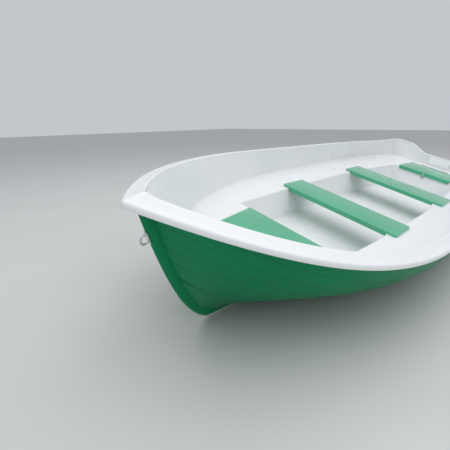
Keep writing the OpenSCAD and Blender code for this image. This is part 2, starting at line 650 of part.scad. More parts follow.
parked() hull_planking();
parked() keel_bar();
parked() stem_band();
parked() transom_panel();
parked() transom_inner();
parked() transom_cap();
parked() gunwale_rim_port();
parked() gunwale_rim_starboard();
parked() side_lining_port();
parked() side_lining_starboard();
parked() bench_port();
parked() bench_starboard();
parked() bow_deck();
parked() stern_deck();
parked() seat_back_board();
parked() well_side_port();
parked() well_side_starboard();
parked() well_front_wall();
parked() locker_front();
parked() well_floor();
parked() bow_seat();
parked() thwart_forward();
parked() thwart_aft();
parked() stern_seat();
parked() seat_hinge_leaf();
parked() deck_hinge_leaf();
parked() hinge_pin();
parked() latch_strap();
parked() latch_knob();
parked() latch_keeper();
parked() rowlock_socket_port();
parked() rowlock_socket_starboard();
parked() motor_pad_inner();
parked() motor_pad_outer();
parked() bow_eye();
parked() bow_eye_plate();
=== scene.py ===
import json
from math import atan2, ceil, copysign, cos, exp, hypot, pi, radians, sin, sqrt

import bmesh
import bpy
from mathutils import Matrix, Vector


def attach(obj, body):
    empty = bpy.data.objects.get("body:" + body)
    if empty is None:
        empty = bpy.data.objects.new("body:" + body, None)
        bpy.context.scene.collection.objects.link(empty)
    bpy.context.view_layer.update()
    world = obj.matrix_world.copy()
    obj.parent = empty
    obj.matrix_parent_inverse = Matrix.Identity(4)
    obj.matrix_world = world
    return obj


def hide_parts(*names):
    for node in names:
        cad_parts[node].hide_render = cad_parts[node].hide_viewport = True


bl_info = {
    "name": "Rowing Boat",
    "version": (1, 0, 0),
    "blender": (4, 5, 0),
    "location": "View3D > Sidebar > Rowing Boat",
    "description": "Builds the visible pieces of a moulded rowing boat on its CAD frame",
    "category": "Object",
}

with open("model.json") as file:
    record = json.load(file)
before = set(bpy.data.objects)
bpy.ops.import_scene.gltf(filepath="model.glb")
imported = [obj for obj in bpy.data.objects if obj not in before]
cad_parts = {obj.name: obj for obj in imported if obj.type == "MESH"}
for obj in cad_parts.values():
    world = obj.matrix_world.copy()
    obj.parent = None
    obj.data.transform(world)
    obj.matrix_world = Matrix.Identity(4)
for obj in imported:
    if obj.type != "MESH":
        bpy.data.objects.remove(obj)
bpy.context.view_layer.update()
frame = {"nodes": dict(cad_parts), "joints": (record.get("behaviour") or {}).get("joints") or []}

# The boat is drawn upright in millimetres, x forward from the transom, y to port and z up
# from the bottom of the keel. It is then laid over on its bilge about the hinge's line.
MM = 0.001
HINGE = frame["joints"][0]
HINGE_X, HINGE_Z = 180.0, 412.0
HEEL = atan2(HINGE["axis"][2], -HINGE["axis"][1])
TURN = Matrix.Rotation(-HEEL, 3, "X")
SHIFT = Vector(HINGE["pos_m"]) - TURN @ Vector((HINGE_X, 0, HINGE_Z)) * MM


def lay(p):
    """A point of the upright boat, in millimetres, in the frame's metres."""
    return TURN @ (Vector(p) * MM) + SHIFT


# Sizes in millimetres.
RIM_LENGTH, HALF_BEAM, HALF_TRANSOM, BEAM_AT = 4522.0, 790.0, 645.0, 2690.0
RIM_W, RIM_SLOPE, RIM_FACE, RIM_WALL, NOSE_R = 60.0, 22.0, 24.0, 10.0, 12.0
KEEL, KEEL_HALF, STEM_HALF, STEM_NOSE, STEM_BAND = 36.0, 35.0, 28.0, 11.0, 26.0
RIM_OVER, HULL_WALL, PLANKS, LAP = 12.0, 8.0, 7, 4.0
BENCH_Z, BENCH_HALF, BENCH_L, LINER = 395.0, 716.0, 4150.0, 8.0
WELL_FRONT, WELL_BACK, WELL_HALF, FLOOR_Z = 3405.0, 590.0, 420.0, 190.0
WELL_LEAN, WELL_END_LEAN, TRANSOM_T = 55.0, 22.0, 62.0
FOOT_AFT, FOOT_FORE = WELL_BACK + WELL_END_LEAN, WELL_FRONT - WELL_END_LEAN
SEAT_T, ROWLOCK_X = 15.0, 2205.0
SHEER_LOW, SHEER_BEND, SHEER_TURN = 562.0, 583.0, 3937.0
STEM_FOOT, STEM_RUN, STEM_TOP = 548.0, 483.0, 711.0
CAP_LOW, CAP_HIGH, NOTCH_HALF, NOTCH_CURVE = 531.0, 609.0, 175.0, 240.0
QUARTER_LIFT, QUARTER_L, MITRE_L = 16.0, 450.0, 62.0
BENCH_AT, BENCH_TAPER = 1000.0, 143.0
WELL_MID, WELL_TAPER_BOW, WELL_TAPER_STERN, WELL_TAPER_FOOT = 2000.0, 38.0, 88.0, 24.0
# Slope of the sheer forward, and the powers of the stem's curve and the stations' spacing.
SHEER_SLOPE, STEM_CURVE, SPACING = 0.315, 0.655, 2.2
# Fullness of the rim's outline at the bow, and of the hull's sections.
RIM_FULL, BOW_FULL, MID_FULL, AFT_FULL = 2.88, 1.8, 2.85, 3.2


def smooth(u):
    v = min(max(u, 0), 1)
    return v * v * (3 - 2 * v)


def plain_y(x):
    """Half width of the rim's outline with a pointed bow."""
    if x > BEAM_AT:
        u = min((x - BEAM_AT) / (RIM_LENGTH - BEAM_AT), 1)
        return HALF_BEAM * max(1 - u**RIM_FULL, 0) ** 0.98
    return HALF_BEAM - (HALF_BEAM - HALF_TRANSOM) * ((BEAM_AT - x) / BEAM_AT) ** 2.6


def rim_y(x):
    """Half width of the rim's outline, rounded at the bow by the nose's radius."""
    y = plain_y(x)
    return sqrt(max(y * y + 2 * NOSE_R * y * (1 - y / HALF_BEAM), 0))


def rim_z(x):
    """Height of the rim: nearly level aft, rising to the bow, with a small lift at the transom."""
    rise = sqrt((x - SHEER_TURN) ** 2 + SHEER_BEND**2) + x - SHEER_TURN
    return SHEER_LOW + SHEER_SLOPE / 2 * rise + QUARTER_LIFT * max(1 - x / QUARTER_L, 0) ** 2


def station_x(t):
    """Place along the boat of a station: 0 at the bow, 1 at the transom."""
    return RIM_LENGTH * (1 - t**SPACING)


def station_at(x):
    return (1 - x / RIM_LENGTH) ** (1 / SPACING)


def rim_point(t):
    return Vector((station_x(t), rim_y(station_x(t))))


def rim_normal(t):
    d = rim_point(min(t + 0.004, 1)) - rim_point(max(t - 0.004, 0.0001))
    return Vector((d.y, -d.x)).normalized()


BOW_NORMAL = rim_normal(0.15)


def rim_out(t):
    """Direction outward from the rim, turned to face ahead at the bow."""
    n = rim_normal(t)
    k = exp(-rim_point(t).y / MITRE_L)
    return Vector((n.x + (1 / BOW_NORMAL.x - n.x) * k, n.y * (1 - k)))


def rim_at(t, out, up):
    p = rim_point(t) + out * rim_out(t)
    return Vector((p.x, p.y, rim_z(station_x(t)) + up))


def rim_under(inward):
    """Height of the rim's underside, from its top edge, at a distance inward."""
    return -RIM_WALL - 6 + (inward - 6) * (RIM_SLOPE + 6) / (RIM_W - 2)


def stem_x(z):
    return RIM_LENGTH - STEM_FOOT + STEM_RUN * (max(z, 0) / STEM_TOP) ** STEM_CURVE


TIP_Z = rim_z(RIM_LENGTH) - RIM_FACE - 10
TIP_X = stem_x(TIP_Z) - STEM_BAND


def rim_steep(x):
    return (rim_y(x - 4) - rim_y(x + 4)) / 8


TIP_INSET = rim_y(TIP_X) - RIM_OVER * hypot(1, rim_steep(TIP_X)) - STEM_HALF


def hull_top_y(s):
    x = s * TIP_X
    return rim_y(x) - RIM_OVER * hypot(1, rim_steep(x)) - TIP_INSET * s**16


def hull_top_z(s):
    x = s * TIP_X
    m = rim_steep(x)
    inward = (rim_y(x) - hull_top_y(s)) / hypot(1, m)
    return rim_z(x + inward * m / hypot(1, m)) + rim_under(min(inward, RIM_W - 14)) - 0.8


def lap_height(w, s):
    """Share of the side's height at a share w of its width, at a share s of its length."""
    return w ** (2.83 - 2.19 * s**1.92 - 0.22 * smooth((s - 0.75) / 0.25))


def fullness(s):
    aft = max(1 - (s / 0.78) ** 2, 0) ** 2
    return BOW_FULL + (MID_FULL - BOW_FULL) * (1 - s**1.94) + AFT_FULL * aft


def hull_end_x(w):
    return stem_x(lap_height(w, 1) * (TIP_Z - KEEL)) - STEM_BAND


def hull_point(s, w):
    """A place on the hull: s from the transom to the stem, w from the keel to the rim."""
    h = lap_height(w, s)
    return Vector((
        s * hull_end_x(w),
        STEM_HALF + (max(hull_top_y(s), STEM_HALF) - STEM_HALF) * (1 - (1 - h) ** fullness(s)),
        KEEL + h * (hull_top_z(s) - KEEL),
    ))


def hull_off(s, w, out):
    """A place on the planking, moved out square to it."""
    p = hull_point(s, w)
    if w <= 0:
        n = (0.35, -1.0)
    else:
        a, b = hull_point(s, max(w - 0.02, 0)), hull_point(s, min(w + 0.02, 1))
        d = Vector((b.y - a.y, b.z - a.z)).normalized()
        n = (d.y, -d.x)
    return p + Vector((0, out * n[0], out * n[1]))


def bench_y(x):
    """Half width of the benches' outer edges."""
    if x > BENCH_AT:
        u = (x - BENCH_AT) / (BENCH_L - BENCH_AT)
        return BENCH_HALF * max(1 - u**4.735, 0) ** 0.6
    return BENCH_HALF - BENCH_TAPER * ((BENCH_AT - x) / (BENCH_AT - TRANSOM_T)) ** 1.25


def well_y(x):
    if x > WELL_MID:
        return WELL_HALF - WELL_TAPER_BOW * ((x - WELL_MID) / (WELL_FRONT - WELL_MID)) ** 2
    return WELL_HALF - WELL_TAPER_STERN * ((WELL_MID - x) / (WELL_MID - WELL_BACK)) ** 2


def well_foot_y(x):
    ahead = max((x - WELL_MID) / (WELL_FRONT - WELL_MID), 0)
    return well_y(x) - WELL_LEAN - WELL_TAPER_FOOT * ahead**4


def floor_x(x):
    u = (x - WELL_BACK) / (WELL_FRONT - WELL_BACK)
    return FOOT_AFT + u * (FOOT_FORE - FOOT_AFT)


def transom_top(y):
    return CAP_LOW + (CAP_HIGH - CAP_LOW) * smooth((abs(y) - NOTCH_HALF) / NOTCH_CURVE)


# Mesh helpers.


def placed(name, data):
    """A new object in the scene's own collection."""
    thing = bpy.data.objects.new(name, data)
    bpy.context.scene.collection.objects.link(thing)
    return thing


def make(name, points, faces, material=None, angle=40.0, merge=0.0):
    """A mesh object from points of the upright boat, with its faces outward."""
    mesh = bpy.data.meshes.new(name)
    mesh.from_pydata([lay(p) for p in points], [], faces)
    for one in material if isinstance(material, list) else [material]:
        mesh.materials.append(one)
    work = bmesh.new()
    work.from_mesh(mesh)
    if merge:
        bmesh.ops.remove_doubles(work, verts=work.verts, dist=merge)
        bmesh.ops.dissolve_degenerate(work, edges=work.edges, dist=merge)
    bmesh.ops.recalc_face_normals(work, faces=work.faces)
    work.to_mesh(mesh)
    work.free()
    thing = placed(name, mesh)
    shade(thing, angle)
    return thing


def shade(thing, angle):
    thing.data.polygons.foreach_set("use_smooth", [True] * len(thing.data.polygons))
    thing.data.set_sharp_from_angle(angle=radians(angle))
    thing.data.update()


def bake(thing):
    """The object's modifiers become part of its mesh."""
    bpy.context.view_layer.update()
    graph = bpy.context.evaluated_depsgraph_get()
    mesh = bpy.data.meshes.new_from_object(thing.evaluated_get(graph), depsgraph=graph)
    thing.modifiers.clear()
    old = thing.data
    thing.data = mesh
    mesh.name = thing.name
    bpy.data.meshes.remove(old)


def bevelled(thing, width, steps=3, angle=35.0):
    mod = thing.modifiers.new("Rounded edges", "BEVEL")
    mod.width = width * MM
    mod.segments = steps
    mod.limit_method = "ANGLE"
    mod.angle_limit = radians(angle)
    bake(thing)


def carved(thing, cutter):
    mod = thing.modifiers.new("Cut", "BOOLEAN")
    mod.object = cutter
    mod.operation = "DIFFERENCE"
    mod.solver = "EXACT"
    bake(thing)
    gone = cutter.data
    bpy.data.objects.remove(cutter)
    bpy.data.meshes.remove(gone)


def settle(thing, body, *nodes):
    """The piece rides on its body and stands for its CAD nodes."""
    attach(thing, body)
    if nodes:
        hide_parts(*nodes)


def mirrored(points):
    """The points on the boat's other side."""
    return [Vector((p.x, -p.y, p.z)) for p in points]


def tube_faces(rows, cols):
    """Quads between rows of closed sections, with end caps."""
    faces = []
    for i in range(rows - 1):
        for j in range(cols):
            k = (j + 1) % cols
            faces.append((i * cols + j, i * cols + k, (i + 1) * cols + k, (i + 1) * cols + j))
    faces.append(tuple(range(cols)))
    faces.append(tuple(reversed(range((rows - 1) * cols, rows * cols))))
    return faces


def lofted(name, sections, material, angle=40):
    """A piece through a row of closed sections."""
    points = [p for ring in sections for p in ring]
    faces = tube_faces(len(sections), len(sections[0]))
    return make(name, points, faces, material=material, angle=angle)


def plate(name, points, material, edge, steps=3, angle=35.0):
    """A flat piece between two equal outlines, with its edges rounded over."""
    n = len(points) // 2
    faces = [tuple(range(n)), tuple(reversed(range(n, 2 * n)))]
    faces += [(i, n + i, n + (i + 1) % n, (i + 1) % n) for i in range(n)]
    thing = make(name, points, faces, material=material, angle=30)
    bevelled(thing, edge, steps, angle)
    shade(thing, 40)
    return thing


def rounded(loop):
    """A polygon with its corners cut, and cut again."""
    for _ in range(2):
        out = []
        n = len(loop)
        for i in range(n):
            a, b = Vector(loop[i]), Vector(loop[(i + 1) % n])
            out += [a * 0.75 + b * 0.25, a * 0.25 + b * 0.75]
        loop = out
    return loop


def bend(a, v, b, u):
    """A place on the curve from a to b that leans to v."""
    return a * (1 - u) ** 2 + v * 2 * u * (1 - u) + b * u * u


def corner_curve(a, v, b, radius, share, steps):
    """The corner at v as a small curve that takes at most a share of each side."""
    reach = min(radius, share * (a - v).length, share * (b - v).length)
    p, q = v + (a - v).normalized() * reach, v + (b - v).normalized() * reach
    return [bend(p, v, q, k / steps) for k in range(steps + 1)]


def round_rectangle(x0, x1, half, r):
    """A rectangle with its corners turned on a radius."""
    corners = ((x1 - r, half - r), (x0 + r, half - r), (x0 + r, r - half), (x1 - r, r - half))
    return [(cx + r * cos(a), cy + r * sin(a)) for k, (cx, cy) in enumerate(corners)
            for a in (radians(90 * k + 15 * i) for i in range(7))]


def prism(name, outline, z0, z1):
    n = len(outline)
    points = [(x, y, z0) for x, y in outline] + [(x, y, z1) for x, y in outline]
    faces = [tuple(reversed(range(n))), tuple(range(n, 2 * n))]
    faces += [(i, (i + 1) % n, n + (i + 1) % n, n + i) for i in range(n)]
    return make(name, points, faces, angle=30)


# Finishes.


def node_of(tree, kind, **inputs):
    node = tree.nodes.new(kind)
    for key, value in inputs.items():
        node.inputs[key].default_value = value
    return node


def finish_of(name, colour, rough, metal=0.0):
    """A new finish with its surface shader, its Object coordinates and its links at hand."""
    finish = bpy.data.materials.new(name)
    finish.use_nodes = True
    tree = finish.node_tree
    surface = tree.nodes["Principled BSDF"]
    surface.inputs["Base Color"].default_value = (*colour, 1)
    surface.inputs["Roughness"].default_value = rough
    surface.inputs["Metallic"].default_value = metal
    place = tree.nodes.new("ShaderNodeTexCoord").outputs["Object"]
    return finish, tree, surface, place


def noise(tree, place, scale, detail=3.0, rough=0.5, stretch=None):
    if stretch:
        mapping = tree.nodes.new("ShaderNodeMapping")
        mapping.inputs["Scale"].default_value = stretch
        tree.links.new(place, mapping.inputs["Vector"])
        place = mapping.outputs["Vector"]
    node = node_of(tree, "ShaderNodeTexNoise", Scale=scale, Detail=detail, Roughness=rough)
    tree.links.new(place, node.inputs["Vector"])
    return node.outputs["Fac"]


def ramp(tree, value, low, high, to_low=0.0, to_high=1.0):
    node = tree.nodes.new("ShaderNodeMapRange")
    for key, number in (("From Min", low), ("From Max", high), ("To Min", to_low), ("To Max", to_high)):
        node.inputs[key].default_value = number
    tree.links.new(value, node.inputs["Value"])
    return node.outputs["Result"]


def blend_colours(tree, amount, first, second):
    node = tree.nodes.new("ShaderNodeMix")
    node.data_type = "RGBA"
    for socket, value in ((node.inputs[6], first), (node.inputs[7], second)):
        if isinstance(value, tuple):
            socket.default_value = (*value, 1)
        else:
            tree.links.new(value, socket)
    tree.links.new(amount, node.inputs[0])
    return node.outputs[2]


def bump(tree, surface, height, strength, distance, before=None):
    node = node_of(tree, "ShaderNodeBump", Strength=strength, Distance=distance)
    tree.links.new(height, node.inputs["Height"])
    if before:
        tree.links.new(before, node.inputs["Normal"])
    tree.links.new(node.outputs["Normal"], surface.inputs["Normal"])
    return node.outputs["Normal"]


def gelcoat(name, colour, pale, dirt, rough=0.22, coat=0.35, worn=0.12, shine=0.4, lap=None):
    """Moulded gelcoat: a faint mottle, an orange-peel surface, scuffs and settled dust.
    With lap, the piece's lap attribute darkens the line under each plank's edge: painted shade and dirt in
    the lap."""
    finish, tree, surface, place = finish_of(name, colour, rough)
    surface.inputs["Coat Weight"].default_value = coat
    surface.inputs["Coat Roughness"].default_value = 0.08
    surface.inputs["Specular IOR Level"].default_value = shine
    cloud = ramp(tree, noise(tree, place, 2.2, 3.0, 0.5), 0.35, 0.7)
    base = blend_colours(tree, cloud, colour, pale)
    scuff = noise(tree, place, 14.0, 5.0, 0.6, stretch=(0.5, 1.4, 1.0))
    marks = ramp(tree, scuff, 0.52, 0.8, 0.0, worn)
    base = blend_colours(tree, marks, base, tuple(min(c * 1.25 + 0.02, 1) for c in pale))
    dust = ramp(tree, noise(tree, place, 3.0, 4.0, 0.55), 0.5, 0.85, 0.0, 0.14)
    base = blend_colours(tree, dust, base, dirt)
    # Painted shade and dirt: the lap colour darkens the line under each plank's edge.
    if lap:
        edge = tree.nodes.new("ShaderNodeAttribute")
        edge.attribute_name = "lap"
        base = blend_colours(tree, ramp(tree, edge.outputs["Fac"], 0.0, 1.0, 0.0, 0.8), base, lap)
    tree.links.new(base, surface.inputs["Base Color"])
    spread = ramp(tree, noise(tree, place, 12.0, 4.0, 0.6), 0.3, 0.75, rough * 0.85, rough * 1.3)
    tree.links.new(spread, surface.inputs["Roughness"])
    waves = bump(tree, surface, noise(tree, place, 5.0, 1.0), 0.2, 0.002)
    bump(tree, surface, noise(tree, place, 55.0, 1.0), 0.03, 0.0004, before=waves)
    return finish


def steel(name):
    """Stainless steel with a drawn grain and water marks."""
    colour, rough = (0.62, 0.62, 0.63), 0.24
    finish, tree, surface, place = finish_of(name, colour, rough, metal=1.0)
    grain = noise(tree, place, 260.0, 3.0, 0.5, stretch=(0.06, 1.0, 1.0))
    tree.links.new(ramp(tree, grain, 0.3, 0.7, rough * 0.7, rough * 1.5), surface.inputs["Roughness"])
    spots = ramp(tree, noise(tree, place, 70.0, 6.0, 0.7), 0.55, 0.75, 0.0, 0.5)
    tree.links.new(blend_colours(tree, spots, colour, (0.42, 0.40, 0.37)), surface.inputs["Base Color"])
    bump(tree, surface, grain, 0.04, 0.0003)
    return finish


def grey_plastic(name):
    new, faded = (0.34, 0.35, 0.36), (0.50, 0.51, 0.51)
    finish, tree, surface, place = finish_of(name, new, 0.45)
    worn = ramp(tree, noise(tree, place, 90.0, 4.0), 0.5, 0.75, 0.0, 0.6)
    tree.links.new(blend_colours(tree, worn, new, faded), surface.inputs["Base Color"])
    bump(tree, surface, noise(tree, place, 700.0, 2.0), 0.15, 0.0002)
    return finish


def varnished_wood(name):
    """Plywood face grain under varnish."""
    finish, tree, surface, place = finish_of(name, (0.42, 0.26, 0.13), 0.3)
    surface.inputs["Coat Weight"].default_value = 0.4
    surface.inputs["Coat Roughness"].default_value = 0.1
    grain = noise(tree, place, 22.0, 6.0, 0.6, stretch=(1.0, 1.0, 14.0))
    fine = noise(tree, place, 220.0, 3.0, 0.6, stretch=(1.0, 0.08, 2.0))
    base = blend_colours(tree, ramp(tree, grain, 0.35, 0.68), (0.30, 0.17, 0.075), (0.52, 0.34, 0.18))
    base = blend_colours(tree, ramp(tree, fine, 0.6, 0.75, 0.0, 0.5), base, (0.16, 0.08, 0.035))
    tree.links.new(base, surface.inputs["Base Color"])
    bump(tree, surface, fine, 0.12, 0.0006)
    return finish


def raw_laminate(name):
    """The unfinished glass-fibre inside of a moulding."""
    finish, tree, surface, place = finish_of(name, (0.46, 0.47, 0.40), 0.55)
    strands = noise(tree, place, 120.0, 6.0, 0.7, stretch=(1.0, 0.3, 1.0))
    base = blend_colours(tree, ramp(tree, strands, 0.35, 0.7), (0.36, 0.38, 0.30), (0.55, 0.56, 0.48))
    tree.links.new(base, surface.inputs["Base Color"])
    bump(tree, surface, strands, 0.6, 0.002)
    return finish


def tint(colour, times):
    return tuple(min(c * times, 1) for c in colour)


LOOKS = {}


def look(name):
    """The named finish, made once from the panel's colours."""
    if name not in LOOKS:
        colours = bpy.context.scene.boat_colours
        hull, seat, white = (tuple(c) for c in (colours.hull, colours.seats, colours.moulding))
        made = {
            # The hull's lap colour is painted shade and dirt under each plank's edge.
            "Hull gelcoat": lambda n: gelcoat(n, hull, tint(hull, 1.18), (0.01, 0.13, 0.06), rough=0.34,
                                              coat=0.0, worn=0.05, shine=0.12, lap=(0.0, 0.10, 0.038)),
            "Board gelcoat": lambda n: gelcoat(n, seat, tint(seat, 1.15), (0.07, 0.33, 0.19),
                                               rough=0.26, coat=0.6, worn=0.1, shine=0.5),
            "White gelcoat": lambda n: gelcoat(n, white, tint(white, 1.03), (0.66, 0.67, 0.64),
                                               rough=0.3, coat=0.2, worn=0.0),
            "White board": lambda n: gelcoat(n, (0.97, 0.98, 0.98), (0.98, 0.98, 0.98),
                                             (0.92, 0.93, 0.92), rough=0.35, coat=0.1, worn=0.0),
            "Stainless steel": steel,
            "Grey plastic": grey_plastic,
            "Varnished plywood": varnished_wood,
            "Raw laminate": raw_laminate,
        }
        LOOKS[name] = made[name](name)
    return LOOKS[name]


# Hull.


def plank_columns():
    """Width places from the rim to the keel with the step of each lap rounded over."""
    out = []
    for k in range(PLANKS - 1, -1, -1):
        if k == 0:
            shares = (1.0, 0.85, 0.7, 0.55, 0.42, 0.3, 0.2, 0.12, 0.06, 0.02, 0.0)
            out += [(f / PLANKS, 0.0) for f in shares]
            continue
        for f in (1.0, 0.975, 0.93, 0.85, 0.7, 0.55, 0.4, 0.25, 0.12, 0.05):
            out.append(((k + f) / PLANKS, LAP * (1 - f)))
        out += [((k + 0.022) / PLANKS, LAP * 0.95), ((k + 0.009) / PLANKS, LAP * 0.84),
                ((k + 0.002) / PLANKS, LAP * 0.6), (k / PLANKS, LAP * 0.3)]
    return out


def lap_shadow(w):
    """How deep a place lies under a plank's edge, which sets its painted shade and dirt: 1 in the lap, 0
    away from it.
    """
    k = w * PLANKS
    below = ceil(k - 1e-6) - k
    return max(1 - below / 0.085, 0) if 0.5 < k < PLANKS - 0.5 else 0.0


def drawn_in(p, s, w):
    """The planking's side drawn in to meet the narrow stem in a soft hollow."""
    near = max(1 - (1 - s) * hull_end_x(w) / 75, 0) ** 2
    return Vector((p.x + STEM_NOSE * near, max(p.y - (STEM_HALF - STEM_NOSE) * near, 0.5), p.z))


def hull_planking():
    columns = plank_columns()
    stations = 112
    outer, inner = [], []
    for i in range(stations + 1):
        s = 1 - (1 - i / stations) ** 1.5
        keep = 1 - s**24
        side = [drawn_in(hull_off(s, w, d * keep), s, w) for w, d in columns]
        back = [drawn_in(hull_off(s, w, -HULL_WALL), s, w) for w, d in columns]
        outer.append(side + mirrored(reversed(side)))
        inner.append(back + mirrored(reversed(back)))
    cols = len(outer[0])
    rows = stations + 1
    points = [p for row in outer for p in row] + [p for row in inner for p in row]
    n = rows * cols
    faces, laminate = [], []
    for i in range(rows - 1):
        for j in range(cols - 1):
            a = i * cols + j
            faces.append((a, a + 1, a + cols + 1, a + cols))
            laminate.append((n + a + cols, n + a + cols + 1, n + a + 1, n + a))
    for i in range(rows - 1):
        a, b = i * cols, (i + 1) * cols - 1
        faces += [(a + cols, n + a + cols, n + a, a), (b, n + b, n + b + cols, b + cols)]
    for j in range(cols - 1):
        a = (rows - 1) * cols + j
        faces += [(j, n + j, n + j + 1, j + 1), (a + 1, n + a + 1, n + a, a)]
    thing = make("Hull_planking", points, faces + laminate,
                 material=[look("Hull gelcoat"), look("Raw laminate")], angle=50)
    for i in range(len(faces), len(faces) + len(laminate)):
        thing.data.polygons[i].material_index = 1
    # The lap attribute is the mask of the painted shade and dirt under each plank's edge.
    edge = [lap_shadow(w) for w, d in columns]
    edge = (edge + edge[::-1]) * rows * 2
    lap = thing.data.attributes.new("lap", "FLOAT", "POINT")
    lap.data.foreach_set("value", edge)
    settle(thing, "boat", "hull_planking")


def band_section(back, front, half, power):
    """A ring from the back of the keel or stem round its nose, squarer with a higher power."""
    ring = []
    for i in range(-14, 15):
        a = pi / 2 * i / 14
        c = abs(cos(a)) ** (2 / power)
        s = copysign(abs(sin(a)) ** (2 / power), a)
        out = 0.35 + 0.65 * c
        p = back + (front - back) * out
        ring.append(Vector((p.x, half * s, p.y)))
    ring.append(Vector((back.x, half - 3, back.y)))
    ring.insert(0, Vector((back.x, -half + 3, back.y)))
    return ring


def keel_and_stem():
    sections = []
    foot = stem_x(0)
    for i in range(25):
        x = (foot - 0.1) * i / 24
        slope = smooth((x - foot + 500) / 500)
        top = Vector((x - STEM_BAND * slope, KEEL - 0.3))
        half = KEEL_HALF + (STEM_NOSE + 1.2 - KEEL_HALF) * slope
        sections.append(band_section(top, Vector((x, 0.0)), half, 9.0 - 6.6 * slope))
    for i in range(1, 71):
        u = (i / 70) ** 1.4
        front = Vector((stem_x(u * TIP_Z) + 6 * smooth(u * 4), u * TIP_Z))
        back = Vector((stem_x(u * (TIP_Z - KEEL)) - STEM_BAND - 5, KEEL + u * (hull_top_z(1) - KEEL)))
        sections.append(band_section(back, front, STEM_NOSE + 1.2, 2.4))
    thing = lofted("Keel_and_stem", sections, look("Hull gelcoat"), angle=50)
    settle(thing, "boat", "keel_bar", "stem_band")


# Rim.
RIM_PROFILE = [(-64, 12), (-64.5, 19), (-60, 22), (-52, 21.4), (-24, 9.5), (-10, 5.4), (0, 3.6), (5.6, 1),
               (8.8, -4), (10.2, -11), (11, -24), (-3, -24), (-6, -16)]


def rowlock_frame(side):
    """Place and axis of a rowlock socket on the upright boat."""
    p = rim_at(station_at(ROWLOCK_X), -RIM_W / 2 + 2, 11.4)
    tilt = atan2(RIM_SLOPE - 10.1, RIM_W - 32)
    return Vector((p.x, side * p.y, p.z)), Vector((0, side * sin(tilt), cos(tilt)))


def turned(name, centre, axis, profile, steps=48, material=None):
    """A turned piece: a closed profile of (radius, height) about an axis of the upright boat."""
    axis = Vector(axis).normalized()
    across = axis.orthogonal().normalized()
    third = axis.cross(across)
    points = []
    for i in range(steps):
        a = 2 * pi * i / steps
        arm = across * cos(a) + third * sin(a)
        points += [Vector(centre) + arm * r + axis * h for r, h in profile]
    m = len(profile)
    faces = []
    for i in range(steps):
        k = (i + 1) % steps
        for j in range(m):
            l = (j + 1) % m
            faces.append((i * m + j, k * m + j, k * m + l, i * m + l))
    return make(name, points, faces, material=material, angle=35, merge=0.00002)


def gunwale_rim():
    profile = rounded(RIM_PROFILE)
    stations = 110
    sections = []
    for i in range(stations, 0, -1):
        sections.append([rim_at(i / stations, q[0], q[1]) for q in profile])
    nose = [rim_at(0.0001, q[0], q[1]) for q in profile]
    sections.append([Vector((p.x, 0, p.z)) for p in nose])
    sections += [mirrored(ring) for ring in reversed(sections[:-1])]
    thing = lofted("Gunwale_rim", sections, look("White gelcoat"), angle=45)
    for side in (1, -1):
        centre, axis = rowlock_frame(side)
        carved(thing, turned("Rowlock_hole", centre, axis, [(0, -60), (10.3, -60), (10.3, 30), (0, 30)]))
    shade(thing, 45)
    settle(thing, "boat", "gunwale_rim_port", "gunwale_rim_starboard")


# Inner moulding.
LINING_IN = RIM_W + 3.6
INNER_TIP = rim_at(0.0001, -LINING_IN, 0).x
LINING_TIP = hull_end_x(1) - 1


def foot_x(x):
    return TRANSOM_T + (x - TRANSOM_T) * (BENCH_L - TRANSOM_T) / (INNER_TIP - TRANSOM_T)


def lining_top(t):
    p = rim_at(t, -LINING_IN, rim_under(LINING_IN) + 3)
    x = min(p.x, LINING_TIP - LINER)
    s = min(x / hull_end_x(1), 1)
    return Vector((x, max(min(p.y, max(hull_top_y(s) - HULL_WALL - 1 - LINER, 1)), 0), p.z))


def filleted(path, radii):
    """A path with its inner corners rounded, always with the same number of points."""
    out = [path[0]]
    for i in range(1, len(path) - 1):
        out += corner_curve(path[i - 1], path[i], path[i + 1], radii[i - 1], 0.45, 6)
    out.append(path[-1])
    return out


